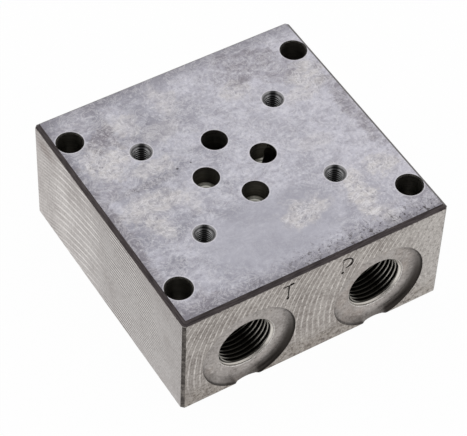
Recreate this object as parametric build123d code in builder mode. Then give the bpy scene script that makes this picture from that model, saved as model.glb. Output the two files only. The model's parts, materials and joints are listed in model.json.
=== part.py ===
"""Size 03 (NG 6) valve manifold block: one machined steel block.

A directional valve bolts to the ground top face.  Its four ports P, T, A and B are
led through drillings inside the block to four G 3/8 pipe ports, P and T in the front
face, A and B in the back face.  Four plain holes in the corners fix the block.

Frame: the origin is the centre of the bottom face, +X runs to the right along the
front face, +Y to the back and +Z up to the valve face.  Millimetres throughout.
"""
import os
from math import acos, degrees, radians, sqrt, tan

from build123d import *

os.makedirs("parts", exist_ok=True)

# ---------------------------------------------------------------- block
block_width = 80.0
block_depth = 79.0
block_height = 35.0
top_chamfer = 1.2          # round the valve face
corner_break = 0.8         # on the four upright edges
bottom_break = 0.1         # round the bottom face

# ---------------------------------------------------------------- drills
drill_point_angle = 118.0
sink_angle = 90.0

# ---------------------------------------------------------------- block fixing holes
fixing_hole_diameter = 7.0
fixing_mouth_break = 0.35
fixing_edge_x = 5.0        # hole centre to the side face
fixing_edge_y = 11.0       # hole centre to the front or back face

# ---------------------------------------------------------------- valve face
# Port and screw places of the size 03 valve face, ISO 4401-03-02-0-05.  They are
# measured from screw 1, which stands at the back right; x runs left, y runs forward.
valve_screw_places = [(0.0, 0.0), (40.5, -0.75), (40.5, 31.75), (0.0, 31.0)]
pressure_place = (21.5, 25.9)
tank_place = (21.5, 5.1)
work_a_place = (12.7, 15.5)
work_b_place = (30.2, 15.5)

screw_major_diameter = 5.0     # M5
screw_mouth_break = 0.6
screw_hole_depth = 12.5

valve_port_diameter = 7.0
valve_port_mouth_break = 0.15
valve_port_depth = 5.3         # P, A and B; T is drilled down to its oilway

# ---------------------------------------------------------------- pipe ports
pipe_port_spacing = 40.0
pipe_port_height = 13.5        # axis above the bottom face
pipe_major_diameter = 16.662   # G 3/8
pipe_mouth_break = 0.25
pipe_thread_length = 13.0      # from the spotface down
pipe_core_diameter = 15.25     # tapping drill, below the thread
pipe_core_depth = 16.5         # from the spotface down
spotface_diameter = 28.0
spotface_depth = 1.5
spotface_corner_radius = 1.8   # the cutter's rounded corner, left round the floor
spotface_corner_bevels = 4     # short bevels that make up the rounded corner

# ---------------------------------------------------------------- oilways
gallery_diameter = 9.0         # straight on from the A and B pipe ports
gallery_run_past = 4.0         # how far a gallery runs beyond the drilling it meets
pressure_oilway_diameter = 4.5
work_oilway_diameter = 5.5
tank_oilway_diameter = 6.0
tank_oilway_offset = 4.0       # sideways at the pipe port's mouth, so that the drill
                               # clears the thread on both sides
tank_hole_run_past = 1.2       # how far the T well runs below its oilway
pressure_reach = 4.0           # from the P pipe port's axis to the end of its drilling
work_a_lead = 0.5              # how far towards the back the A drilling aims
work_b_lead = -3.7             # how far towards the back the B drilling aims

# ---------------------------------------------------------------- worked out
fixing_spacing_x = block_width - 2 * fixing_edge_x
fixing_spacing_y = block_depth - 2 * fixing_edge_y
screw_pitch_x = max(x for x, y in valve_screw_places)
first_screw = Vector(screw_pitch_x / 2, work_a_place[1])


def on_valve_face(place):
    """Return the point of the valve face at a place of the valve pattern."""
    return Vector(first_screw.X - place[0], first_screw.Y - place[1], block_height)


pressure_mouth = on_valve_face(pressure_place)
tank_mouth = on_valve_face(tank_place)
work_a_mouth = on_valve_face(work_a_place)
work_b_mouth = on_valve_face(work_b_place)
valve_screws = [on_valve_face(place) for place in valve_screw_places]

front_y = -block_depth / 2
back_y = block_depth / 2
right_port_x = pipe_port_spacing / 2
left_port_x = -pipe_port_spacing / 2
core_end = spotface_depth + pipe_core_depth

# A pipe port's plane lies on its face, with its normal pointing out of the block.
tank_port = Plane((left_port_x, front_y, pipe_port_height), x_dir=(1, 0, 0), z_dir=(0, -1, 0))
pressure_port = Plane((right_port_x, front_y, pipe_port_height), x_dir=(1, 0, 0), z_dir=(0, -1, 0))
work_a_port = Plane((right_port_x, back_y, pipe_port_height), x_dir=(-1, 0, 0), z_dir=(0, 1, 0))
work_b_port = Plane((left_port_x, back_y, pipe_port_height), x_dir=(-1, 0, 0), z_dir=(0, 1, 0))

# Where each oilway ends inside the block.
work_a_end = Vector(right_port_x, work_a_mouth.Y + work_a_lead, pipe_port_height)
work_b_end = Vector(left_port_x, work_b_mouth.Y + work_b_lead, pipe_port_height)
pressure_end = Vector(
    right_port_x - pressure_reach,
    front_y + core_end - pressure_oilway_diameter / 2,
    pipe_port_height,
)
tank_oilway_mouth = Vector(left_port_x - tank_oilway_offset, front_y, pipe_port_height)
tank_oilway_end = Vector(tank_mouth.X, tank_mouth.Y, pipe_port_height)
tank_oilway_bottom = pipe_port_height - tank_oilway_diameter / 2
tank_hole_depth = block_height - tank_oilway_bottom + tank_hole_run_past

FROM_TOP = (Align.CENTER, Align.CENTER, Align.MAX)
FROM_BASE = (Align.CENTER, Align.CENTER, Align.MIN)


def cone_height(radius, angle):
    """Return the height of a cone with this base radius and full point angle."""
    return radius / tan(radians(angle / 2))


def drill(diameter, depth):
    """Drill a blind hole with a drill point, down from each current location."""
    radius = diameter / 2
    Cylinder(radius, depth, align=FROM_TOP, mode=Mode.SUBTRACT)
    with Locations((0, 0, -depth)):
        Cone(0, radius, cone_height(radius, drill_point_angle), align=FROM_TOP, mode=Mode.SUBTRACT)


def sink(hole_diameter, mouth_break):
    """Countersink a hole at each current location, to widen its mouth by a break all round."""
    hole_radius = hole_diameter / 2
    height = cone_height(mouth_break, sink_angle)
    Cone(hole_radius, hole_radius + mouth_break, height, align=FROM_TOP, mode=Mode.SUBTRACT)


def oilway(start, end, diameter):
    """Drill a straight oilway between two points of its axis."""
    with Locations(Plane(start, z_dir=end - start)):
        Cylinder(diameter / 2, (end - start).length, align=FROM_BASE, mode=Mode.SUBTRACT)


# The spotface cutter: a flat disc whose corner is ground as short bevels along an arc
# that is tangent to the floor and meets the rim.
spotface_radius = spotface_diameter / 2
corner_run = sqrt(spotface_depth * (2 * spotface_corner_radius - spotface_depth))
corner_turn = degrees(acos(1 - spotface_depth / spotface_corner_radius))
spotface_flat = spotface_radius - corner_run
with BuildPart() as spotface_cutter:
    with BuildSketch(Plane.XZ):
        with BuildLine():
            corner_arc = CenterArc(
                (spotface_flat, spotface_corner_radius - spotface_depth),
                spotface_corner_radius,
                start_angle=-90,
                arc_size=corner_turn,
                mode=Mode.PRIVATE,
            )
            bevels = Polyline(
                *[corner_arc @ (i / spotface_corner_bevels) for i in range(spotface_corner_bevels + 1)]
            )
            Polyline(bevels @ 1, (0, 0), (0, -spotface_depth), bevels @ 0)
        make_face()
    revolve(axis=Axis.Z)

with BuildPart() as manifold_block:
    # Blank, with its edges broken
    with BuildSketch(Plane.XY):
        blank = Rectangle(block_width, block_depth)
        chamfer(blank.vertices(), corner_break)
    extrude(amount=block_height)
    chamfer(faces().sort_by(Axis.Z)[-1].edges(), top_chamfer)
    chamfer(faces().sort_by(Axis.Z)[0].edges(), bottom_break)

    # Fixing holes right through the four corners, broken at both mouths
    with Locations((0, 0, block_height)):
        with GridLocations(fixing_spacing_x, fixing_spacing_y, 2, 2):
            Hole(fixing_hole_diameter / 2, depth=block_height)
            sink(fixing_hole_diameter, fixing_mouth_break)
    with Locations(Plane.XY.rotated((180, 0, 0))):
        with GridLocations(fixing_spacing_x, fixing_spacing_y, 2, 2):
            sink(fixing_hole_diameter, fixing_mouth_break)

    # Valve screws, threaded M5
    with Locations(*valve_screws):
        drill(screw_major_diameter, screw_hole_depth)
        sink(screw_major_diameter, screw_mouth_break)

    # Valve ports: T runs deep, the other three are short wells over slanting oilways
    with Locations(pressure_mouth, work_a_mouth, work_b_mouth):
        drill(valve_port_diameter, valve_port_depth)
        sink(valve_port_diameter, valve_port_mouth_break)
    with Locations(tank_mouth):
        drill(valve_port_diameter, tank_hole_depth)
        sink(valve_port_diameter, valve_port_mouth_break)

    # Pipe ports: spotface, thread at its major diameter, tapping drill beyond it
    with Locations(tank_port, pressure_port, work_a_port, work_b_port):
        add(spotface_cutter.part, mode=Mode.SUBTRACT)
        drill(pipe_core_diameter, core_end)
        with Locations((0, 0, -spotface_depth)):
            Cylinder(
                pipe_major_diameter / 2,
                pipe_thread_length,
                align=FROM_TOP,
                mode=Mode.SUBTRACT,
            )
            sink(pipe_major_diameter, pipe_mouth_break)

    # Galleries straight on from the A and B pipe ports
    with Locations(work_a_port):
        drill(gallery_diameter, back_y - work_a_end.Y + gallery_run_past)
    with Locations(work_b_port):
        drill(gallery_diameter, back_y - work_b_end.Y + gallery_run_past)

    # Oilways: three slant down from the valve ports, one runs level to the T well
    oilway(pressure_mouth, pressure_end, pressure_oilway_diameter)
    oilway(work_a_mouth, work_a_end, work_oilway_diameter)
    oilway(work_b_mouth, work_b_end, work_oilway_diameter)
    oilway(tank_oilway_mouth, tank_oilway_end, tank_oilway_diameter)

manifold_block.part.label = "manifold_block"
export_step(manifold_block.part, "parts/manifold_block.step")
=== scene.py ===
# %% [markdown]
# # A valve manifold block in steel
#
# The object is one machined block of steel.  A directional valve is screwed to its ground
# top face, and drillings lead the oil from there to threaded pipe ports in the front and
# back faces.  The solid model holds the block with its holes.  What is left for Blender is
# what the cutters and the workshop left behind: the threads, the stamped port letters, the
# marks of grinding and milling, the stains, and the light.
#
# The frame comes first, because every place below is worked out from it.

# %% Load the frame
import json
from functools import reduce
from math import cos, pi, radians, sin

import bmesh
import bpy
import numpy as np
from mathutils import Matrix, Vector


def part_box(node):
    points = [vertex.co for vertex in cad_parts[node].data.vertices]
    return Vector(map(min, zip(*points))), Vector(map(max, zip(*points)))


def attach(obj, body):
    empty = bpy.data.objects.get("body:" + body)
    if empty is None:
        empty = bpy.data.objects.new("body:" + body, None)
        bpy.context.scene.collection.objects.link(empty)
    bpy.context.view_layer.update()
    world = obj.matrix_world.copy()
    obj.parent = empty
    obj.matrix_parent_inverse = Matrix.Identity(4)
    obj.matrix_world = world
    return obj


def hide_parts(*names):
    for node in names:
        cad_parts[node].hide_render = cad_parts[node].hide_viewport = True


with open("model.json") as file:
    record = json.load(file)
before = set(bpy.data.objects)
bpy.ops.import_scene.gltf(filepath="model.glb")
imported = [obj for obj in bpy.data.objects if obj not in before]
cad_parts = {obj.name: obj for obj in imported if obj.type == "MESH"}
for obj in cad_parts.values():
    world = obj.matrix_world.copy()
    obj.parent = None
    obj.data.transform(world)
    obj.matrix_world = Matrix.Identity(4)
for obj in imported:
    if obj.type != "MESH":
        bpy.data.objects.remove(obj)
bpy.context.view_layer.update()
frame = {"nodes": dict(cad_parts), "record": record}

MM = 0.001
low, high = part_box("manifold_block")
half_width = (high[0] - low[0]) / 2
half_depth = (high[1] - low[1]) / 2
height = high[2]
mounts = {mount["name"]: mount for mount in frame["record"]["mounts"]}
print(f"block {2 * half_width / MM:.1f} x {2 * half_depth / MM:.1f} x {height / MM:.1f} mm")

# %% [markdown]
# ## The camera
#
# The block is seen from above its front left corner through a long lens, which keeps its
# edges nearly parallel.  A camera can be aimed with a constraint, but then it can't be
# rolled.  Here its three axes are worked out from a heading, a tilt and a roll, which are
# the three turns of a tripod head.

# %% Camera
camera_place = Vector((-0.21578, -0.32669, 0.46842))
camera_heading = 33.34     # degrees from +Y towards +X
camera_tilt = 49.32        # degrees down from the horizon
camera_roll = 2.73         # degrees, with its right side raised
camera_lens = 171.05       # mm, on a 36 mm sensor


def camera_axes(heading, tilt, roll):
    """Return right, up and backward: the level axes of that heading and tilt, then the
    first two turned about the line of sight by the roll."""
    heading, tilt, roll = radians(heading), radians(tilt), radians(roll)
    forward = Vector((sin(heading) * cos(tilt), cos(heading) * cos(tilt), -sin(tilt)))
    level_right = Vector((cos(heading), -sin(heading), 0.0))
    level_up = level_right.cross(forward)
    right = level_right * cos(roll) + level_up * sin(roll)
    up = level_up * cos(roll) - level_right * sin(roll)
    return right, up, -forward


def placed(name, data):
    """Put an object with this data into the scene."""
    item = bpy.data.objects.new(name, data)
    bpy.context.scene.collection.objects.link(item)
    return item


camera_data = bpy.data.cameras.new("camera")
camera_data.sensor_width = 36.0
camera_data.lens = camera_lens
camera_data.clip_start = 0.01
camera_data.clip_end = 20.0
camera = placed("camera", camera_data)
turn = Matrix(camera_axes(camera_heading, camera_tilt, camera_roll)).transposed()
camera.matrix_world = Matrix.Translation(camera_place) @ turn.to_4x4()
bpy.context.scene.camera = camera
print("camera distance", round(camera_place.length, 3), "m")

# %% [markdown]
# ## Where the holes are
#
# The pipe ports and the screws are interfaces, so their places are in the record and are
# read from it.  The four valve ports stand at the places that the standard valve face gives
# from its first screw, as they do on every valve of this size.

# %% Hole places
pipe_names = ["tank_port", "pressure_port", "work_port_a", "work_port_b"]
pipe_major_radius = mounts["tank_port"]["dims"]["r_mm"] * MM
pipe_port_x = abs(mounts["tank_port"]["pos_m"][0])
pipe_port_z = mounts["tank_port"]["pos_m"][2]
spotface_depth = 1.5 * MM
spotface_radius = 14.0 * MM
valve_port_radius = 3.5 * MM
valve_port_depth = 5.3 * MM
valve_port_mouth_break = 0.15 * MM
fixing_mouth_break = 0.35 * MM
screw_mouth_break = 0.6 * MM
pipe_mouth_break = 0.25 * MM
top_chamfer = 1.2 * MM
corner_break = 0.8 * MM
bottom_break = 0.1 * MM
hair = 0.002 * MM


def screw_places(name):
    """Return the two screw centres of a pattern: its own centre, half the spacing each way."""
    x, y = mounts[name]["pos_m"][:2]
    half = mounts[name]["dims"]["spacing_y_mm"] * MM / 2
    return [(x, y - half), (x, y + half)]


screws = screw_places("valve_screws_right") + screw_places("valve_screws_left")
screw_major_radius = mounts["valve_screws_right"]["dims"]["hole_r_mm"] * MM
first_screw = screws[1]
valve_places = {"P": (21.5, 25.9), "T": (21.5, 5.1), "A": (12.7, 15.5), "B": (30.2, 15.5)}
valve_ports = {
    name: (first_screw[0] - x * MM, first_screw[1] - y * MM)
    for name, (x, y) in valve_places.items()
}
fixing_x = mounts["fixing_holes"]["dims"]["spacing_x_mm"] * MM / 2
fixing_y = mounts["fixing_holes"]["dims"]["spacing_y_mm"] * MM / 2
fixing_radius = mounts["fixing_holes"]["dims"]["hole_r_mm"] * MM
for name, (x, y) in valve_ports.items():
    print(f"valve port {name} at {x / MM:.2f}, {y / MM:.2f} mm")

# %% [markdown]
# ## A bench for wiring finishes
#
# Each machined surface is a small graph of shader nodes.  Wired by hand, such a graph takes
# five lines a node, and the idea drowns.  A small class keeps the tree in hand, so that each
# node is one call that returns its output.  A second class adds the metal and a colour that
# grows coat by coat, so a finish reads like a recipe.  All patterns read Object coordinates,
# which are metres in the block's own frame, so a cloud or a cutter mark keeps its size and
# place from every side.

# %% Finish bench
def tone(red, green, blue):
    """Return a colour given in the 0 to 255 steps of a screen as the linear one of a shader."""
    steps = np.array([red, green, blue]) / 255
    linear = np.where(steps <= 0.04045, steps / 12.92, ((steps + 0.055) / 1.055) ** 2.4)
    return tuple(float(value) for value in linear)


class Bench:
    """An empty tree of shader nodes; shades are given in the 0 to 255 steps of a screen."""

    def __init__(self, owner):
        owner.use_nodes = True
        self.tree = owner.node_tree
        self.tree.nodes.clear()

    def feed(self, socket, value):
        """Link an output to a socket, or set its own value; three numbers make a shade."""
        if isinstance(value, bpy.types.NodeSocket):
            self.tree.links.new(value, socket)
        elif socket.type == "RGBA" and len(value) == 3:
            socket.default_value = (*tone(*value), 1.0)
        else:
            socket.default_value = value

    def make(self, kind, inputs, **settings):
        """Add a node with these settings, feed its inputs, and return the node."""
        made = self.tree.nodes.new(kind)
        for key, value in settings.items():
            setattr(made, key, value)
        for key, value in inputs.items():
            self.feed(made.inputs[key], value)
        return made

    def node(self, kind, inputs, **settings):
        """Add a node and return its first output."""
        return self.make(kind, inputs, **settings).outputs[0]

    def calc(self, operation, a, b=0.0, c=0.0):
        """Return the result of one mathematical operation."""
        return self.node("ShaderNodeMath", {0: a, 1: b, 2: c}, operation=operation)

    def add(self, a, b):
        """Return a plus b."""
        return self.calc("ADD", a, b)

    def fold(self, operation, values):
        """Return what an operation makes of several values, taken one after another."""
        return reduce(lambda a, b: self.calc(operation, a, b), values)

    def times(self, *values):
        """Return the product of several values."""
        return self.fold("MULTIPLY", values)

    def most(self, *values):
        """Return the largest of several values."""
        return self.fold("MAXIMUM", values)

    def least(self, *values):
        """Return the smallest of several values."""
        return self.fold("MINIMUM", values)

    def without(self, value, share=1.0):
        """Return 1 less this share of a value."""
        return self.add(self.times(value, -share), 1.0)


class Finish(Bench):
    """A metal finish: patterns are outputs of nodes, and the colour grows coat by coat."""

    def __init__(self, name, roughness=0.45):
        self.material = bpy.data.materials.new(name)
        super().__init__(self.material)
        inputs = {"Metallic": 1.0, "Roughness": roughness}
        self.shader = self.make("ShaderNodeBsdfPrincipled", inputs)
        self.make("ShaderNodeOutputMaterial", {"Surface": self.shader.outputs["BSDF"]})
        self.place = self.make("ShaderNodeTexCoord", {}).outputs["Object"]
        self.x, self.y, self.z = self.make("ShaderNodeSeparateXYZ", {0: self.place}).outputs

    def step(self, value, start, end, low=0.0, high=1.0):
        """Rise smoothly from low to high while value goes from start to end."""
        inputs = {"Value": value, "From Min": start, "From Max": end, "To Min": low, "To Max": high}
        return self.node("ShaderNodeMapRange", inputs, interpolation_type="SMOOTHSTEP")

    def reach(self, x, y, centre, size=(1.0, 1.0)):
        """Return the distance of (x, y) from a centre, with each way divided by its size."""
        across = self.times(self.add(x, -centre[0]), 1 / size[0])
        along = self.times(self.add(y, -centre[1]), 1 / size[1])
        return self.calc("SQRT", self.add(self.times(across, across), self.times(along, along)))

    def noise(self, size, detail=3.0, rough=0.55, at=None, distortion=0.0):
        """Return noise from 0 to 1 whose lumps are about this size in metres."""
        inputs = {
            "Vector": at or self.place,
            "Scale": 1 / size,
            "Detail": detail,
            "Roughness": rough,
            "Distortion": distortion,
        }
        return self.node("ShaderNodeTexNoise", inputs)

    def stretched(self, sizes, turned=0.0):
        """Return coordinates divided by a size each way, after a turn about Z."""
        inputs = {
            "Vector": self.place,
            "Rotation": (0.0, 0.0, turned),
            "Scale": tuple(1 / size for size in sizes),
        }
        return self.node("ShaderNodeMapping", inputs, vector_type="POINT")

    def dots(self, pitch, radius, share):
        """Return 1 inside round dots: one cell in a pitch holds one, for this share of cells."""
        cells = self.make("ShaderNodeTexVoronoi", {"Vector": self.place, "Scale": 1 / pitch})
        pick = self.node("ShaderNodeSeparateColor", {0: cells.outputs["Color"]})
        near = self.step(cells.outputs["Distance"], radius / pitch, radius / pitch * 0.5)
        return self.times(self.calc("LESS_THAN", pick, share), near)

    def blend(self, amount, a, b):
        """Return colour a where amount is 0 and colour b where it is 1."""
        made = self.make("ShaderNodeMix", {0: amount}, data_type="RGBA")
        self.feed(made.inputs[6], a)
        self.feed(made.inputs[7], b)
        return made.outputs[2]

    def base(self, pattern, start, end, first, last):
        """Start the colour: first turns into last while a pattern goes from start to end."""
        self.colour = self.blend(self.step(pattern, start, end), first, last)

    def coat(self, shade, *amounts):
        """Blend a shade over the colour so far, by the product of these amounts."""
        self.colour = self.blend(self.times(*amounts), self.colour, shade)

    def tint(self, shade, share, pattern, start, end):
        """Coat with up to a share of a shade, while a pattern goes from start to end."""
        self.coat(shade, self.step(pattern, start, end, 0.0, share))

    def bump(self, relief, depth):
        """Raise the surface by relief times a depth in metres."""
        inputs = {"Height": relief, "Distance": depth, "Strength": 1.0}
        self.feed(self.shader.inputs["Normal"], self.node("ShaderNodeBump", inputs))

    def wire(self, **outputs):
        """Feed the colour and any other input of the shader, and return the material."""
        self.feed(self.shader.inputs["Base Color"], self.colour)
        for key, value in outputs.items():
            self.feed(self.shader.inputs[key.title()], value)
        return self.material


print("mid grey in a shader", round(tone(128, 128, 128)[0], 3))

# %% [markdown]
# ## The ground top face
#
# The valve seals on this face, so it is ground flat.  Oil, hands and storage have clouded
# it: a cool grey with paler dried stains, a few dark smudges and small pits.  A picture
# could be laid on it, but a formula keeps its grain at any distance.  Wide soft noise makes
# the clouds, a short list of places makes the stains that can be told apart, and a fine
# stretched noise makes the grinding lines.

# %% Ground finish
pale_stains = [            # x, y, half length, half width in mm, strength
    (-29.5, 18.0, 6.5, 6.5, 0.9),
    (-20.0, 10.0, 6.5, 2.6, 0.7),
    (-27.0, -1.5, 11.0, 3.5, 0.8),
    (-29.0, -8.0, 3.0, 5.5, 0.8),
    (-17.0, -4.0, 3.0, 4.5, 0.5),
    (-19.5, 27.0, 4.5, 5.0, 0.7),
    (-6.0, 29.5, 3.5, 5.0, 0.6),
    (-12.0, 20.0, 6.0, 3.5, 0.4),
    (13.5, 23.0, 4.5, 3.5, 0.7),
    (33.0, 19.0, 5.5, 5.0, 0.9),
    (27.5, 13.5, 5.5, 2.6, 0.6),
    (21.5, -3.0, 4.5, 3.0, 0.4),
    (6.0, -22.5, 6.5, 4.0, 0.8),
    (22.0, -24.0, 3.5, 9.5, 1.0),
    (24.5, -34.0, 3.0, 3.5, 0.7),
    (32.5, -18.5, 5.0, 3.5, 0.9),
]
dark_smudges = [
    (-27.0, 25.0, 4.5, 4.0, 1.0),
    (-22.0, 21.0, 4.0, 1.5, 0.5),
    (-35.0, 8.0, 5.0, 3.0, 0.5),
    (20.0, 30.5, 9.0, 7.0, 0.8),
    (28.0, 24.0, 5.0, 5.0, 0.6),
    (-30.0, 33.5, 8.0, 4.0, 0.4),
    (37.0, 1.0, 2.5, 16.0, 0.8),
    (36.0, -33.0, 6.0, 4.0, 0.7),
    (-38.0, -10.0, 2.0, 18.0, 0.7),
    (-34.0, -35.5, 7.0, 4.0, 0.8),
]
oil_drops = [(-15.0, 6.4, 0.45), (-10.8, 6.6, 0.32)]     # x, y, radius in mm


def patches(steel, places, ragged):
    """Return how much of any patch covers a point: the strongest, with ragged edges."""
    covers = []
    for x, y, long, wide, strength in places:
        away = steel.reach(steel.x, steel.y, (x * MM, y * MM), (long * MM, wide * MM))
        covers.append(steel.step(steel.add(away, ragged), 1.35, 0.6, 0.0, strength))
    return steel.most(*covers)


def painted_rim_highlights(steel, wide):
    """Return 1 on the thin painted highlight round every hole's mouth."""
    along_x = steel.calc("ABSOLUTE", steel.x)
    along_y = steel.calc("ABSOLUTE", steel.y)
    fixing_rim = fixing_radius + fixing_mouth_break
    screw_rim = screw_major_radius + screw_mouth_break
    port_rim = valve_port_radius + valve_port_mouth_break
    rings = [steel.add(steel.reach(along_x, along_y, (fixing_x, fixing_y)), -fixing_rim)]
    for place in screws:
        rings.append(steel.add(steel.reach(steel.x, steel.y, place), -screw_rim))
    for place in valve_ports.values():
        rings.append(steel.add(steel.reach(steel.x, steel.y, place), -port_rim))
    return steel.step(steel.least(*rings), wide, 0.2 * wide)


def edge_band(steel, across, ragged, start, end, share):
    """Return up to a share along an edge, rising from start to end in mm across it."""
    across = steel.add(across, steel.times(ragged, 1.2 * MM))
    return steel.step(across, start * MM, end * MM, 0.0, share)


def ground_finish():
    """Ground steel: clouds, stains, smudges, pits and fine grinding lines."""
    steel = Finish("ground_steel", roughness=0.42)
    clouds = steel.noise(10 * MM, detail=6.0, rough=0.6, distortion=0.5)
    slanting = steel.stretched((3.6 * MM, 2.0 * MM, 1.0), radians(35))
    mottle = steel.noise(1.0, detail=6.0, rough=0.66, at=slanting)
    grain = steel.noise(0.95 * MM, detail=5.0, rough=0.85)
    fringe = steel.noise(4 * MM, detail=7.0, rough=0.72, distortion=0.4)
    ragged = steel.times(steel.add(fringe, -0.5), 3.4)
    pale = patches(steel, pale_stains, ragged)
    dark = patches(steel, dark_smudges, ragged)
    pale_flecks = steel.step(mottle, 0.62, 0.4, 0.35, 1.0)
    dark_flecks = steel.step(mottle, 0.25, 0.7, 0.35, 1.0)
    steel.base(clouds, 0.38, 0.62, (140, 139, 148), (184, 183, 192))
    # painted light: the top grows paler towards the back right
    painted_light_slope = steel.add(steel.x, steel.times(steel.y, 0.4))
    steel.tint((195, 193, 202), 0.6, painted_light_slope, -15 * MM, 30 * MM)
    # The front middle is the calmest part: there clouds and grain nearly vanish.
    busy = steel.reach(steel.x, steel.y, (-4 * MM, -24 * MM), (22 * MM, 13 * MM))
    busy = steel.step(busy, 0.6, 1.2, 0.3, 1.0)
    steel.coat((164, 163, 172), steel.without(busy))
    steel.coat((152, 149, 157), steel.step(mottle, 0.4, 0.75, 0.0, 0.7), busy)
    steel.coat((200, 199, 205), steel.step(mottle, 0.48, 0.25, 0.0, 0.6), busy)
    steel.coat((199, 195, 195), pale, pale_flecks)
    steel.coat((130, 125, 131), dark, dark_flecks)
    # The trail of dark specks is where the block was handled most, and the top is darker along its front,
    # left and back edges.
    trail = steel.reach(steel.x, steel.y, (-26.0 * MM, 5.2 * MM), (13.0 * MM, 1.5 * MM))
    trail = steel.step(trail, 1.2, 0.3)
    back = edge_band(steel, steel.y, ragged, 33.5, 38.5, 0.6)
    front = edge_band(steel, steel.y, ragged, -33, -38.5, 0.8)
    left = edge_band(steel, steel.x, ragged, -36, -39, 0.6)
    edges = steel.most(front, left, back)
    steel.coat((120, 117, 124), edges)
    steel.coat((146, 143, 148), trail, 0.5)
    near_front = steel.step(steel.y, -30 * MM, -37.5 * MM)
    sooty = steel.times(near_front, steel.step(steel.x, -14 * MM, 4 * MM, 0.3, 1.0))
    rough_skin = steel.most(pale, dark, edges, steel.times(busy, 0.6))
    steel.coat((118, 116, 123), steel.step(grain, 0.5, 0.72), rough_skin)
    # Dried stains leave fine pale veins, thin where a noise passes its middle value.
    veins = steel.noise(4.5 * MM, detail=7.0, rough=0.7, distortion=1.2)
    veins = steel.calc("ABSOLUTE", steel.add(veins, -0.5))
    veins = steel.times(steel.step(veins, 0.035, 0.0), steel.most(steel.times(busy, 0.45), pale))
    steel.coat((224, 222, 224), veins, 0.7)
    clean_skin = steel.times(rough_skin, steel.without(edges))
    steel.coat((216, 215, 219), steel.step(grain, 0.48, 0.28), clean_skin)
    soot = steel.step(steel.noise(1.2 * MM, detail=4.0, rough=0.8), 0.53, 0.62)
    steel.coat((84, 80, 82), soot, steel.most(sooty, steel.times(trail, 0.6)))
    pits = steel.most(steel.dots(2.3 * MM, 0.15 * MM, 0.14), steel.dots(5 * MM, 0.24 * MM, 0.12))
    drops = []
    for x, y, radius in oil_drops:
        away = steel.reach(steel.x, steel.y, (x * MM, y * MM))
        drops.append(steel.step(away, radius * MM, 0.5 * radius * MM))
    marks = steel.most(pits, *drops)
    steel.coat((58, 54, 56), marks, 0.8)
    # painted highlight on the rim of every hole
    steel.coat((214, 212, 216), painted_rim_highlights(steel, 0.4 * MM), 0.5)
    lines = steel.noise(1.0, detail=2.0, at=steel.stretched((12 * MM, 0.1 * MM, 1.0), radians(4)))
    relief = steel.add(steel.times(lines, 0.3), steel.times(grain, 0.9))
    relief = steel.add(relief, steel.times(marks, -2.0))
    steel.bump(relief, 0.010 * MM)
    gloss = steel.step(steel.add(clouds, steel.times(pale, 0.5)), 0.3, 1.0, 0.38, 0.55)
    return steel.wire(roughness=gloss)


ground_steel = ground_finish()
print(ground_steel.name, len(ground_steel.node_tree.nodes), "nodes")

# %% [markdown]
# ## The milled sides
#
# The front and back faces were cut with a fly cutter, whose tooth leaves an arc at each
# turn.  An arc of the cutter's radius moves along by the feed, so the pattern is the
# fractional part of x plus the height of a circle, divided by the feed.  The two side faces
# were cut by a finer mill that ran along the block and left close flat arcs.  Both patterns
# drive the colour a little and the relief more, because it is the relief that catches light.

# %% Milled finishes
fly_cut_feed = 1.8 * MM
fly_cut_radius = 38.0 * MM
fly_cut_centre_z = 12.0 * MM
side_mill_feed = 1.2 * MM
side_mill_centre = (-8.0 * MM, -75.0 * MM)


def ridge(steel, turns, sharpness):
    """Return a train of thin ridges, one a turn: a cosine raised to a power."""
    wave = steel.calc("COSINE", steel.times(turns, 2 * pi))
    half = steel.add(steel.times(wave, 0.5), 0.5)
    return steel.calc("POWER", half, sharpness)


def fly_cut_finish():
    """Fly-cut steel: wide arcs, one a turn of the cutter, over fine chatter and grime."""
    steel = Finish("fly_cut_steel", roughness=0.5)
    rise = steel.add(steel.z, -fly_cut_centre_z)
    bulge = steel.calc("SQRT", steel.add(fly_cut_radius**2, steel.times(rise, rise, -1.0)))
    wobble = steel.times(steel.noise(7 * MM, detail=3.0), 0.8 * MM)
    along = steel.add(steel.add(steel.x, bulge), wobble)
    arcs = ridge(steel, steel.times(along, 1 / fly_cut_feed), 7.0)
    between = ridge(steel, steel.times(along, 2.07 / fly_cut_feed), 9.0)
    broken = steel.step(steel.noise(2.2 * MM, detail=6.0, rough=0.7), 0.3, 0.68)
    clouds = steel.noise(8 * MM, detail=6.0, rough=0.62)
    grain = steel.noise(0.9 * MM, detail=5.0, rough=0.85)
    steel.base(clouds, 0.3, 0.7, (148, 141, 136), (180, 174, 169))
    steel.tint((202, 198, 194), 0.6, steel.x, 15 * MM, 39 * MM)
    upper = steel.step(steel.z, 4 * MM, 12 * MM, 0.25, 1.0)
    fade = steel.step(steel.x, 39 * MM, 20 * MM, 0.3, 1.0)
    strength = steel.times(upper, fade, steel.add(steel.times(broken, 0.75), 0.25))
    light = steel.most(steel.times(arcs, strength), steel.times(between, strength, 0.35))
    steel.coat((232, 227, 222), light)
    worn = steel.step(steel.z, 9 * MM, 2 * MM, 0.0, 0.6)
    steel.coat((156, 148, 137), worn, broken)
    steel.tint((92, 84, 78), 0.9, grain, 0.49, 0.7)
    steel.tint((226, 221, 215), 0.7, grain, 0.46, 0.3)
    pocks = steel.noise(1.4 * MM, detail=4.0, rough=0.75)
    pocks = steel.times(steel.step(pocks, 0.51, 0.6), steel.add(steel.times(worn, 0.7), 0.2))
    steel.coat((88, 78, 70), pocks)
    freckles = steel.most(steel.dots(1.1 * MM, 0.18 * MM, 0.4), steel.dots(2.9 * MM, 0.28 * MM, 0.25))
    rust = steel.step(steel.noise(6 * MM, detail=3.0), 0.45, 0.7, 0.25, 0.8)
    steel.coat((78, 66, 58), freckles, rust)
    relief = steel.add(steel.times(light, 0.8), steel.times(grain, 0.7))
    steel.bump(relief, 0.02 * MM)
    return steel.wire()


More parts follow.
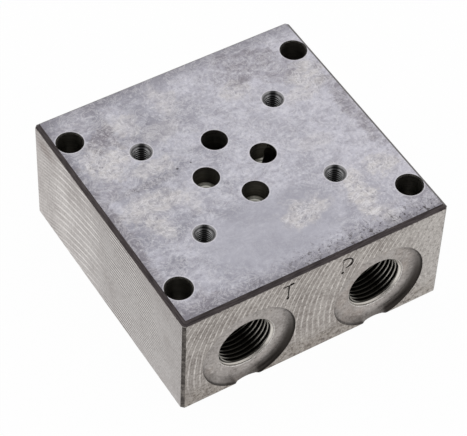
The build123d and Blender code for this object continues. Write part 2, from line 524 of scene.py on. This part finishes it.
def side_milled_finish():
    """Side-milled steel: close flat arcs, broken up by clouds where the cutter rubbed."""
    steel = Finish("side_milled_steel", roughness=0.5)
    away = steel.reach(steel.y, steel.z, side_mill_centre)
    wobble = steel.times(steel.noise(7 * MM, detail=3.0), 0.7 * MM)
    turns = steel.times(steel.add(away, wobble), 1 / side_mill_feed)
    lines = ridge(steel, turns, 1.5)
    wide = ridge(steel, steel.times(turns, 0.5), 3.0)
    wide_region = steel.reach(steel.y, steel.z, (16 * MM, 18 * MM), (16 * MM, 30 * MM))
    wide_region = steel.step(wide_region, 1.15, 0.5)
    fine_region = steel.reach(steel.y, steel.z, (-12 * MM, 17 * MM), (16 * MM, 60 * MM))
    fine_region = steel.step(fine_region, 1.25, 0.6, 0.3, 1.0)
    broken = steel.step(steel.noise(6 * MM, detail=4.0, rough=0.6), 0.3, 0.6, 0.25, 1.0)
    patch = steel.step(steel.noise(9 * MM, detail=5.0, rough=0.65), 0.36, 0.6, 0.15, 1.0)
    clouds = steel.noise(7 * MM, detail=6.0, rough=0.62)
    grain = steel.noise(0.8 * MM, detail=5.0, rough=0.85)
    steel.base(steel.y, -5 * MM, 38 * MM, (192, 188, 186), (206, 201, 198))
    steel.tint((160, 153, 150), 0.6, clouds, 0.35, 0.75)
    steel.tint((156, 149, 147), 0.35, steel.z, 22 * MM, 33 * MM)
    stain = steel.reach(steel.y, steel.z, (33.0 * MM, 30.0 * MM), (5.0 * MM, 2.5 * MM))
    steel.tint((140, 126, 120), 0.6, stain, 1.3, 0.3)
    fine = steel.times(patch, fine_region, broken)
    valley = steel.times(steel.without(lines), fine)
    steel.coat((104, 98, 96), valley, 0.9)
    crests = steel.most(steel.times(lines, fine), steel.times(wide, wide_region, broken))
    steel.coat((246, 242, 239), crests, 0.75)
    steel.tint((112, 104, 101), 0.6, grain, 0.49, 0.7)
    steel.tint((236, 232, 228), 0.5, grain, 0.46, 0.3)
    relief = steel.add(steel.times(lines, patch, 0.9), steel.times(grain, 0.6))
    steel.bump(relief, 0.014 * MM)
    return steel.wire()


fly_cut_steel = fly_cut_finish()
side_milled_steel = side_milled_finish()
print(fly_cut_steel.name, "and", side_milled_steel.name)

# %% [markdown]
# ## The chamfer, the spotfaces and the bores
#
# The chamfer round the valve face is coloured dark: a painted reflection of the dark room
# that it faces.  The spotfaces were turned by a cutter that left fine rings about the port's
# axis, and painted shade darkens their rounded corners.  The bores are coloured darker,
# while the floors of the valve ports are clean and ringed.

# %% Edge, spotface and bore finishes
def chamfer_finish():
    """Chamfer coloured dark as a painted reflection, with streaks along it, and a painted highlight where
    it meets the sides.
    """
    steel = Finish("chamfer_steel")
    streaks = steel.noise(1.0, detail=4.0, at=steel.stretched((4 * MM, 4 * MM, 0.25 * MM)))
    grain = steel.noise(0.6 * MM, detail=4.0, rough=0.7)
    # painted dark reflection: the chamfer's own colours are dark
    steel.base(streaks, 0.3, 0.7, (56, 51, 52), (82, 76, 76))
    steel.tint((124, 116, 115), 0.5, grain, 0.55, 0.85)
    # painted highlight along the chamfer's lower edge
    edge = steel.step(steel.z, height - top_chamfer + 0.16 * MM, height - top_chamfer, 0.0, 0.8)
    steel.coat((200, 194, 188), edge, steel.step(grain, 0.3, 0.6))
    steel.bump(steel.add(streaks, grain), 0.015 * MM)
    return steel.wire()


def one_noise_finish(name, roughness, lump, detail, rough, spread, dark, light, depth):
    """Steel whose colour, from dark to light, and relief follow one noise; sizes are in mm."""
    steel = Finish(name, roughness)
    marks = steel.noise(lump * MM, detail, rough)
    steel.base(marks, *spread, dark, light)
    steel.bump(marks, depth * MM)
    return steel.wire()


def port_reach(steel):
    """Return the distance from the nearest pipe port's axis: one formula for all four."""
    return steel.reach(steel.calc("ABSOLUTE", steel.x), steel.z, (pipe_port_x, pipe_port_z))


def screw_reach(steel):
    """Return the distance from the nearest valve screw's axis."""
    return steel.least(*[steel.reach(steel.x, steel.y, place) for place in screws])


shade_column_heading = 33.4      # degrees from +Y towards +X, the camera's heading: painted shade runs down each hole this way
shade_column_across = cos(radians(shade_column_heading))
shade_column_along = -sin(radians(shade_column_heading))


def screw_sides(steel):
    """Return 1 at the two sides of a screw hole, and little down its middle, which gets painted shade."""
    here = steel.add(steel.times(steel.x, shade_column_across), steel.times(steel.y, shade_column_along))
    offs = [
        steel.calc("ABSOLUTE", steel.add(here, -(x * shade_column_across + y * shade_column_along)))
        for x, y in screws
    ]
    return steel.step(steel.least(*offs), 0.3 * MM, 1.5 * MM, 0.05, 1.0)


def spotface_finish():
    """Turned steel: rings about the axis, warm stains, and painted shade in the rounded corner."""
    steel = Finish("spotface_steel", roughness=0.4)
    away = port_reach(steel)
    rings = ridge(steel, steel.times(away, 1 / (0.35 * MM)), 1.0)
    clouds = steel.noise(6 * MM, detail=4.0, rough=0.55)
    warm = steel.step(steel.noise(7 * MM, detail=2.0), 0.5, 0.75, 0.0, 0.5)
    grain = steel.noise(0.9 * MM, detail=5.0, rough=0.8)
    steel.base(clouds, 0.3, 0.7, (148, 142, 138), (176, 170, 166))
    steel.coat((160, 147, 138), warm)
    steel.coat((190, 186, 182), rings, 0.12)
    steel.tint((102, 96, 91), 0.85, grain, 0.5, 0.68)
    steel.tint((212, 207, 202), 0.65, grain, 0.47, 0.32)
    steel.coat((76, 70, 64), steel.dots(2.0 * MM, 0.15 * MM, 0.2), 0.6)
    # Painted shade darkens the rounded corner, its rim and a halo inside it, most low on the
    # right of each corner, and less at the notch, where the spotface runs out of the bottom face.
    off_x = steel.calc("WRAP", steel.add(steel.x, -pipe_port_x), pipe_port_x, -pipe_port_x)
    off_z = steel.add(steel.z, -pipe_port_z)
    lean = steel.add(steel.times(off_x, 0.64), steel.times(off_z, -0.77))
    corner_shade = steel.step(lean, 2.0 * MM, 12.5 * MM, 0.3, 1.0)
    at_notch = steel.step(steel.calc("ABSOLUTE", off_x), 4.2 * MM, 2.6 * MM)
    unshaded_notch = steel.times(at_notch, steel.step(off_z, -9 * MM, -11 * MM))
    corner_shade = steel.times(corner_shade, steel.without(unshaded_notch, 0.85))
    # painted shade: a halo that darkens towards the rounded corner
    halo = steel.step(away, 9.0 * MM, 12.8 * MM, 0.0, 0.75)
    halo = steel.times(halo, steel.step(lean, 0.0, 11.0 * MM, 0.08, 0.85))
    steel.coat((84, 79, 76), halo)
    # painted shade in the rounded corner and on the wall at its rim
    corner = steel.step(away, 11.6 * MM, 13.3 * MM, 0.0, 0.95)
    steel.coat((54, 50, 47), corner, corner_shade)
    rim = steel.times(steel.step(away, 13.5 * MM, 13.9 * MM), steel.add(steel.times(unshaded_notch, -0.7), 0.7))
    steel.coat((48, 45, 42), rim)
    steel.bump(steel.add(steel.times(rings, 0.3), steel.times(grain, 0.5)), 0.008 * MM)
    return steel.wire()


def bore_finish():
    """Drilled bore: darker steel, with rings from the drill."""
    steel = Finish("drilled_steel")
    rings = steel.noise(1.0, detail=3.0, at=steel.stretched((6 * MM, 6 * MM, 0.3 * MM)))
    steel.base(rings, 0.3, 0.7, (108, 105, 98), (136, 132, 124))
    steel.bump(rings, 0.02 * MM)
    return steel.wire()


def dark_mouth_finish():
    """Mouths of the plain holes: near black; a screw's is bare at the sides, with painted shade down its
    middle.
    """
    steel = Finish("dark_mouth_steel", roughness=0.5)
    film = steel.noise(0.8 * MM, detail=3.0)
    steel.base(film, 0.3, 0.7, (36, 35, 32), (70, 68, 64))
    rim = screw_major_radius + screw_mouth_break
    at_screw = steel.step(screw_reach(steel), rim + 0.4 * MM, rim + 0.2 * MM)
    # painted shade down the middle of a screw's mouth, bare steel at its sides
    steel.coat(steel.blend(screw_sides(steel), (44, 44, 45), (142, 141, 142)), at_screw)
    steel.bump(film, 0.01 * MM)
    return steel.wire()


def drill_point_finish():
    """Clean drill point: bright rings about each valve port's axis."""
    steel = Finish("drill_point_steel", roughness=0.4)
    nearest = steel.least(*[steel.reach(steel.x, steel.y, valve_ports[name]) for name in "PAB"])
    rings = ridge(steel, steel.times(nearest, 1 / (0.75 * MM)), 1.0)
    clouds = steel.noise(1.5 * MM, detail=3.0)
    steel.colour = steel.blend(rings, (84, 84, 78), (190, 188, 180))
    steel.tint((96, 96, 90), 0.5, clouds, 0.4, 0.7)
    steel.bump(rings, 0.02 * MM)
    return steel.wire()


# Edges are nicked by a file, countersinks are bare and scraped by a hand-held tool, and the
# stamped strokes are grooves coloured dark.
broken_edge_steel = one_noise_finish(
    "broken_edge_steel", 0.5, 1.6, 5.0, 0.8, (0.4, 0.75), (72, 67, 64), (140, 134, 128), 0.05
)
countersink_steel = one_noise_finish(
    "countersink_steel", 0.35, 0.5, 4.0, 0.65, (0.3, 0.7), (170, 166, 162), (228, 224, 220), 0.012
)
stamped_steel = one_noise_finish(
    "stamped_steel", 0.55, 0.4, 3.0, 0.55, (0.3, 0.7), (30, 27, 25), (62, 57, 53), 0.03
)

finishes = {
    "drilled": bore_finish(),
    "ground": ground_steel,
    "fly_cut": fly_cut_steel,
    "side_milled": side_milled_steel,
    "chamfer": chamfer_finish(),
    "broken_edge": broken_edge_steel,
    "spotface": spotface_finish(),
    "countersink": countersink_steel,
    "dark_mouth": dark_mouth_finish(),
    "drill_point": drill_point_finish(),
    "stamped": stamped_steel,
}
print(len(finishes), "finishes ready")

# %% [markdown]
# ## The block
#
# The solid's mesh has one material and loose triangles.  The real block has a different
# finish on each cut face, so a merged copy stands for it.  First its doubled corners are
# joined, which makes one closed skin that tools can work on.

# %% Merged block
def merged_copy(node, name):
    """Return a copy of a node's mesh with its doubled corners joined."""
    mesh = frame["nodes"][node].data.copy()
    mesh.name = name
    work = bmesh.new()
    work.from_mesh(mesh)
    bmesh.ops.remove_doubles(work, verts=work.verts, dist=0.0005 * MM)
    work.to_mesh(mesh)
    open_edges = sum(1 for edge in work.edges if not edge.is_manifold)
    work.free()
    mesh.materials.clear()
    print(name, len(mesh.polygons), "faces,", open_edges, "open edges")
    return mesh


def finished(name, mesh):
    """Put a mesh into the scene as a piece that rides on the block."""
    piece = placed(name, mesh)
    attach(piece, "root")
    return piece


def tube_faces(rows, columns):
    """Return the faces of a grid of points whose columns close into a ring."""
    number = np.arange(rows * columns).reshape(rows, columns)
    beside = np.roll(number, -1, axis=1)
    return np.stack([number[:-1], beside[:-1], beside[1:], number[1:]], axis=-1).reshape(-1, 4)


block_mesh = merged_copy("manifold_block", "machined_block")

# %% [markdown]
# ## The port letters
#
# Each pipe port is stamped with the letter of its valve port: P and T in front, A and B
# behind.  Letters from a font would be too clean, because these were struck by hand, deeper
# at one end than at the other.  So each stroke is a path with its own width at each point.
# A four-sided section is carried along it, and a boolean cuts all the strokes out of the
# block, which leaves real grooves.

# %% Port letters
strokes = {                # letter: paths of (right, up, width) in mm, from its lower left corner
    "T": [
        [(0.1, 5.1, 0.4), (0.9, 5.05, 0.45), (1.8, 5.1, 0.5), (2.5, 5.15, 0.85), (3.3, 5.2, 0.7)],
        [(1.8, 5.0, 0.6), (1.85, 4.0, 0.5), (1.8, 2.6, 0.42), (1.75, 1.0, 0.36), (1.7, 0.35, 0.5)],
        [(1.75, 0.35, 0.85), (1.6, -0.15, 0.9)],
    ],
    "P": [
        [(0.05, 5.2, 0.6), (0.9, 5.2, 0.7), (1.9, 5.05, 0.5), (2.7, 4.4, 0.45), (3.1, 3.4, 0.65)],
        [(3.1, 3.2, 0.75), (2.7, 2.3, 0.95), (1.9, 1.95, 0.75), (0.9, 1.6, 0.4)],
        [(0.15, 4.9, 0.22), (0.1, 3.4, 0.16), (0.05, 1.0, 0.2)],
        [(0.05, 0.4, 0.85), (0.3, -0.1, 0.85)],
    ],
    "A": [
        [(0.0, 0.0, 0.6), (0.8, 2.4, 0.35), (1.6, 5.0, 0.3)],
        [(1.6, 5.0, 0.4), (2.4, 2.6, 0.3), (3.2, 0.0, 0.5)],
        [(0.6, 1.8, 0.25), (1.6, 1.75, 0.35), (2.6, 1.8, 0.3)],
    ],
    "B": [
        [(0.1, 5.1, 0.4), (0.1, 2.6, 0.25), (0.1, 0.0, 0.5)],
        [(0.1, 5.1, 0.35), (1.6, 5.0, 0.4), (2.6, 4.3, 0.3), (2.4, 3.1, 0.35), (0.2, 2.7, 0.25)],
        [(1.5, 2.8, 0.3), (2.9, 2.2, 0.35), (2.9, 0.8, 0.45), (1.8, 0.1, 0.4), (0.1, 0.0, 0.4)],
    ],
}
letter_places = [          # letter, left edge as seen from outside, side of the block
    ("T", -10.8 * MM, -1),
    ("P", 7.4 * MM, -1),
    ("A", -10.6 * MM, 1),
    ("B", 7.3 * MM, 1),
]
letter_foot = 26.7 * MM
end_share = 0.45           # of a stroke's width is left at its two ends
groove_share = 0.8         # of half a stroke's width is its depth
groove_reach = 0.5 * MM    # no groove is deeper
steps_between = 4          # from each point of a path to the next


def stroke_cutter(path, left, side):
    """Points of one stroke: at each point of the path, a four-sided section whose corners
    lie half a width to each side, the groove's depth inside, and as high outside."""
    right, up, width = (np.array(path) * MM).T
    steps = np.linspace(0, len(path) - 1, steps_between * (len(path) - 1) + 1)
    spot = np.stack([np.interp(steps, np.arange(len(path)), v) for v in (right, up, width)], axis=1)
    way = np.gradient(spot[:, :2], axis=0)
    way /= np.linalg.norm(way, axis=1, keepdims=True)
    half = spot[:, 2:] / 2
    ends = np.ones(len(spot))
    ends[[0, -1]] = end_share
    half = half * ends[:, None]
    spot[[0, -1], :2] += way[[0, -1]] * half[[0, -1]] * np.array([[-1.0], [1.0]])
    across = np.stack([-way[:, 1], way[:, 0]], axis=1) * half
    deep = half[:, 0] * groove_share
    plan = np.stack([spot[:, :2] + across, spot[:, :2], spot[:, :2] - across, spot[:, :2]], axis=1)
    out = np.stack([deep * 0, -deep, deep * 0, deep], axis=1)
    x = -side * (left + plan[..., 0])
    y = side * (half_depth + out)
    z = letter_foot + plan[..., 1]
    return np.stack([x, y, z], axis=-1)


def cutters_mesh(name, sections):
    """Join strokes into one mesh: each is a tube of four-cornered rings with flat ends."""
    points = []
    faces = []
    start = 0
    for ring in sections:
        rows = ring.shape[0]
        points.append(ring.reshape(-1, 3))
        last = start + 4 * (rows - 1)
        faces += (tube_faces(rows, 4) + start).tolist()
        faces += [[start + 3, start + 2, start + 1, start], [last, last + 1, last + 2, last + 3]]
        start += 4 * rows
    mesh = bpy.data.meshes.new(name)
    mesh.from_pydata(np.vstack(points).tolist(), [], faces)
    work = bmesh.new()
    work.from_mesh(mesh)
    bmesh.ops.recalc_face_normals(work, faces=work.faces)
    work.to_mesh(mesh)
    work.free()
    return mesh


def cut_out(mesh, cutter_mesh):
    """Return the mesh with the cutters taken away, by a boolean applied at once."""
    block = placed("stamping_block", mesh)
    punch = placed("stamping_punch", cutter_mesh)
    cut = block.modifiers.new("stamp", "BOOLEAN")
    cut.operation = "DIFFERENCE"
    cut.solver = "EXACT"
    cut.use_self = True
    cut.object = punch
    finished_block = block.evaluated_get(bpy.context.evaluated_depsgraph_get())
    shaped = bpy.data.meshes.new_from_object(finished_block)
    for item in (block, punch):
        bpy.data.objects.remove(item)
    return shaped


sections = [
    stroke_cutter(path, left, side)
    for letter, left, side in letter_places
    for path in strokes[letter]
]
stamped_mesh = cut_out(block_mesh, cutters_mesh("letter_punches", sections))
stamped_mesh.name = "machined_block"
print(len(sections), "strokes stamped,", len(stamped_mesh.polygons), "faces")

# %% [markdown]
# ## A finish for each face
#
# Every face of the block now gets the finish of the tool that made it, worked out from
# where the middle of the face lies.  Round walls are shaded smooth while every real edge
# stays sharp, and weighted normals keep the flat faces flat beside their rounded corners.

# %% Block
drill_point_height = 2.2 * MM
smooth_below = 24          # degrees between two faces of a rounded wall


def face_finishes(mesh):
    """Return the finish number of each face, from the place of its middle."""
    count = len(mesh.polygons)
    middles = np.empty(count * 3, dtype=np.float32)
    mesh.polygons.foreach_get("center", middles)
    middles = middles.reshape(-1, 3)
    x, y, z = np.abs(middles).T
    number = {name: i for i, name in enumerate(finishes)}
    pick = np.full(count, number["drilled"])

    def within(places, radius):
        """Say which middles lie within a radius of any of these places in plan."""
        away = [np.hypot(middles[:, 0] - px, middles[:, 1] - py) for px, py in places]
        return np.min(away, axis=0) < radius

    wells = [valve_ports[name] for name in "PAB"]
    well_floor = height - valve_port_depth
    in_point = (z < well_floor - hair) & (z > well_floor - drill_point_height)
    pick[within(wells, valve_port_radius) & in_point] = number["drill_point"]
    pick[z > height - screw_mouth_break] = number["dark_mouth"]
    from_port = np.hypot(x - pipe_port_x, z - pipe_port_z)
    spotface = half_depth - spotface_depth
    in_spotface = (y > spotface - hair) & (from_port < spotface_radius + hair)
    in_mouth = from_port < pipe_major_radius + pipe_mouth_break
    pick[(y > spotface - pipe_mouth_break) & in_mouth] = number["countersink"]
    pick[in_spotface] = number["spotface"]
    outside_ports = from_port > spotface_radius + hair
    pick[outside_ports & (y > half_depth - groove_reach) & (z < height - top_chamfer)] = number["stamped"]
    pick[y > half_depth - hair] = number["fly_cut"]
    pick[x > half_width - hair] = number["side_milled"]
    outer = (x > half_width - top_chamfer) | (y > half_depth - top_chamfer)
    pick[outer & (z > height - top_chamfer + hair)] = number["chamfer"]
    outer = (x > half_width - bottom_break) | (y > half_depth - bottom_break)
    pick[outer & (z < bottom_break - hair)] = number["broken_edge"]
    pick[x + y > half_width + half_depth - corner_break - hair] = number["broken_edge"]
    pick[z > height - hair] = number["ground"]
    pick[z < hair] = number["side_milled"]
    return pick


for material in finishes.values():
    stamped_mesh.materials.append(material)
picked = face_finishes(stamped_mesh)
stamped_mesh.polygons.foreach_set("material_index", picked)
stamped_mesh.shade_smooth()
stamped_mesh.set_sharp_from_angle(angle=radians(smooth_below))
machined_block = finished("machined_block", stamped_mesh)
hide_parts("manifold_block")
even = machined_block.modifiers.new("even_shading", "WEIGHTED_NORMAL")
even.keep_sharp = True
print({name: int((picked == i).sum()) for i, name in enumerate(finishes)})

# %% [markdown]
# ## The threads
#
# A thread could be made with a Screw modifier, which sweeps a tooth along a helix.  But a
# tapped hole also has a countersunk mouth that cuts the first turns away, and that is easy
# to say as a formula: at each angle and depth the wall's radius is the larger of the
# thread's and the cone's.  So each thread is one grid over angle and depth, closed by an
# outer wall that lies inside the steel.

# %% Threads
steps_a_turn = 14
root_gap = 0.04 * MM       # between a thread's root and the bore of the solid
behind_bore = 0.03 * MM    # how far the outer wall lies inside the steel
thread_smooth_below = 60   # degrees


def thread_radius(turns, crest, root, flat):
    """Radius of a thread: a wave that climbs from crest to root and back once a turn, with
    its top and bottom flattened by this share and rounded by a smooth step."""
    wave = np.abs(2 * (turns - np.floor(turns)) - 1)
    slope = np.clip((wave - flat) / (1 - 2 * flat), 0, 1)
    return crest + (root - crest) * slope * slope * (3 - 2 * slope)


def thread_sleeve(name, mouth, inward, major, minor, pitch, start, length, around, flat, finish):
    """A threaded wall about an axis.  Radius at depth d and angle a is the larger of the
    thread's, at d over pitch less a over a full turn, and a 90 degree cone from the mouth."""
    steps = int(length / pitch * steps_a_turn)
    angle = np.linspace(0, 2 * pi, around, endpoint=False)[:, None]
    depth = np.linspace(start, length, steps)[None, :]
    root = major - root_gap
    wall = thread_radius(depth / pitch - angle / (2 * pi), minor, root, flat)
    wall = np.minimum(np.maximum(wall, major + start - depth), root)
    outer = np.full((around, 2), major + behind_bore)
    radius = np.hstack([wall, outer])
    depth = np.hstack([np.broadcast_to(depth, wall.shape), np.tile([length, start], (around, 1))])
    inward = np.array(inward, dtype=float)
    side = np.array([1.0, 0.0, 0.0])
    other = np.cross(inward, side)
    spot = (
        np.array(mouth)
        + depth[..., None] * inward
        + (radius * np.cos(angle))[..., None] * side
        + (radius * np.sin(angle))[..., None] * other
    )
    ring = np.concatenate([spot, spot[:1]])
    rows, columns = ring.shape[:2]
    faces = tube_faces(rows, columns) % (around * columns)
    mesh = bpy.data.meshes.new(name)
    mesh.from_pydata(spot.reshape(-1, 3).tolist(), [], faces.tolist())
    mesh.materials.append(finish)
    mesh.shade_smooth()
    mesh.set_sharp_from_angle(angle=radians(thread_smooth_below))
    return finished(name, mesh)


def thread_finish(name, crest, root, away_of, mouth_of, side_of, light, shade, mouths):
    """Thread crests get a painted highlight and the flanks painted shade, and there is no
    highlight down the middle; the countersunk mouth gets painted shade down its middle too."""
    steel = Finish(name, roughness=0.36)
    # painted highlight on the crests, painted shade down the flanks and roots
    painted_crest_light = steel.step(away_of(steel), crest + (root - crest) * 0.4, crest)
    grain = steel.noise(0.5 * MM, detail=3.0)
    steel.colour = steel.blend(steel.times(painted_crest_light, side_of(steel)), shade, light)
    steel.tint(shade, 0.4, grain, 0.5, 0.8)
    steel.coat(steel.blend(side_of(steel), *mouths), mouth_of(steel))
    steel.bump(grain, 0.008 * MM)
    return steel.wire()


def pipe_mouth(steel):
    """Return 1 on the countersunk mouth of a pipe port and 0 further in."""
    out = steel.calc("ABSOLUTE", steel.y)
    face = half_depth - spotface_depth
    return steel.step(out, face - 0.85 * MM, face - 0.7 * MM)


def screw_mouth(steel):
    """Return 1 on the countersunk mouth of a screw hole and 0 further in."""
    return steel.step(steel.z, height - 1.1 * MM, height - 0.95 * MM)


def pipe_sides(steel):
    """Return 1 at the two sides of a pipe port and little down its middle, which gets painted shade."""
    off = steel.add(steel.calc("ABSOLUTE", steel.x), -pipe_port_x)
    return steel.step(steel.calc("ABSOLUTE", off), 3.2 * MM, 7.0 * MM, 0.04, 1.0)


pipe_pitch = 1.337 * MM
pipe_minor_radius = 7.475 * MM
pipe_thread_length = 13.0 * MM
screw_pitch = 0.8 * MM
screw_minor_radius = 2.067 * MM
screw_thread_length = 11.0 * MM

# The colours are the crests' painted highlight, the painted shade, and the mouth's colour in its middle
# and at its sides.
pipe_thread_steel = thread_finish(
    "pipe_thread_steel", pipe_minor_radius, pipe_major_radius, port_reach, pipe_mouth,
    pipe_sides, (200, 196, 188), (34, 32, 28), ((196, 191, 184), (214, 209, 202)),
)
screw_thread_steel = thread_finish(
    "screw_thread_steel", screw_minor_radius, screw_major_radius, screw_reach, screw_mouth,
    screw_sides, (215, 215, 215), (26, 26, 26), ((34, 34, 35), (130, 129, 130)),
)
for name in pipe_names:
    x, _, z = mounts[name]["pos_m"]
    out = mounts[name]["axis"]
    thread_sleeve(
        name + "_thread",
        mouth=(x, out[1] * (half_depth - spotface_depth), z),
        inward=(0.0, -out[1], 0.0),
        major=pipe_major_radius,
        minor=pipe_minor_radius,
        pitch=pipe_pitch,
        start=pipe_mouth_break,
        length=pipe_thread_length,
        around=96,
        flat=0.14,
        finish=pipe_thread_steel,
    )
for number, (x, y) in enumerate(screws, start=1):
    thread_sleeve(
        f"valve_screw_thread_{number}",
        mouth=(x, y, height),
        inward=(0.0, 0.0, -1.0),
        major=screw_major_radius,
        minor=screw_minor_radius,
        pitch=screw_pitch,
        start=screw_mouth_break,
        length=screw_thread_length,
        around=56,
        flat=0.12,
        finish=screw_thread_steel,
    )
print("threads:", len(pipe_names), "pipe ports and", len(screws), "screws")

# %% [markdown]
# ## Floor and light
#
# The block lies on a plain white table under soft light from above.  The floor shows white
# to the camera and to reflections, and still takes a faint shadow.  Bright metal is mostly
# what it mirrors, so a dark screen stands in front, where the studio is dark: it gives the
# hollow of each spotface and the threads something dark to show.

# %% Floor and light
floor_drop = 0.02 * MM     # below the block
floor_half = 3.0           # metres
floor_white_share = 0.97
paper_white = (0.94, 0.94, 0.94, 1.0)     # linear, like the next
felt_black = (0.05, 0.05, 0.05, 1.0)
felt_roughness = 0.9
screen_radius = 1.2        # metres
screen_turns = (218, 278)  # degrees round the block, from +X towards +Y
screen_lifts = (1, 30)     # degrees above the floor
room_strength = 0.8
softbox_side = 0.5         # metres
softbox_power = 0.25       # watts
softbox_place = (0.15, 0.25, 0.75)


def grid_mesh(name, u, v, place):
    """A sheet over two parameters: place(u, v) gives its points."""
    across, along = np.meshgrid(u, v, indexing="ij")
    spot = np.stack(place(across, along), axis=-1)
    rows, columns = across.shape
    number = np.arange(rows * columns).reshape(rows, columns)
    quads = np.stack([number[:-1, :-1], number[1:, :-1], number[1:, 1:], number[:-1, 1:]], axis=-1)
    mesh = bpy.data.meshes.new(name)
    mesh.from_pydata(spot.reshape(-1, 3).tolist(), [], quads.reshape(-1, 4).tolist())
    return mesh


def shown_white(bench, surface, white_kind, share, output_kind):
    """Finish a tree: the surface, but white light for camera, glossy and transmission rays."""
    rays = bench.make("ShaderNodeLightPath", {}).outputs
    seen = bench.most(rays["Is Camera Ray"], rays["Is Glossy Ray"], rays["Is Transmission Ray"])
    white = bench.node(white_kind, {"Strength": 1.0, "Color": (255, 255, 255)})
    inputs = {"Fac": bench.times(seen, share), 1: surface, 2: white}
    bench.make(output_kind, {"Surface": bench.node("ShaderNodeMixShader", inputs)})


def staged(name, mesh, material):
    """Put a sheet into the scene as part of the stage."""
    mesh.materials.append(material)
    sheet = placed(name, mesh)
    return sheet


table_white = bpy.data.materials.new("white_table")
table = Bench(table_white)
paper = table.node("ShaderNodeBsdfDiffuse", {"Color": paper_white})
shown_white(table, paper, "ShaderNodeEmission", floor_white_share, "ShaderNodeOutputMaterial")
floor_ends = np.array([-floor_half, floor_half])
floor_mesh = grid_mesh("floor", floor_ends, floor_ends, lambda u, v: (u, v, u * 0 - floor_drop))
staged("floor", floor_mesh, table_white)

black_felt = bpy.data.materials.new("black_felt")
felt = Bench(black_felt)
weave = felt.node("ShaderNodeBsdfPrincipled", {"Base Color": felt_black, "Roughness": felt_roughness})
felt.make("ShaderNodeOutputMaterial", {"Surface": weave})
screen_mesh = grid_mesh(
    "dark_screen",
    np.radians(np.linspace(*screen_turns, 16)),
    np.radians(np.linspace(*screen_lifts, 10)),
    lambda turn, lift: (
        screen_radius * np.cos(turn) * np.cos(lift),
        screen_radius * np.sin(turn) * np.cos(lift),
        screen_radius * np.sin(lift),
    ),
)
dark_screen = staged("dark_screen", screen_mesh, black_felt)
dark_screen.visible_camera = False

world = bpy.data.worlds.new("soft_room")
room = Bench(world)
air = room.node("ShaderNodeBackground", {"Color": (255, 255, 255), "Strength": room_strength})
shown_white(room, air, "ShaderNodeBackground", 1.0, "ShaderNodeOutputWorld")
bpy.context.scene.world = world

softbox_light = bpy.data.lights.new("softbox", "AREA")
softbox_light.shape = "RECTANGLE"
softbox_light.size = softbox_side
softbox_light.size_y = softbox_side
softbox_light.energy = softbox_power
softbox = placed("softbox", softbox_light)
softbox.location = softbox_place
softbox.rotation_euler = (-softbox.location.normalized()).to_track_quat("-Z", "Y").to_euler()
bpy.context.scene.view_settings.view_transform = "Standard"
print("floor, screen and softbox in place")
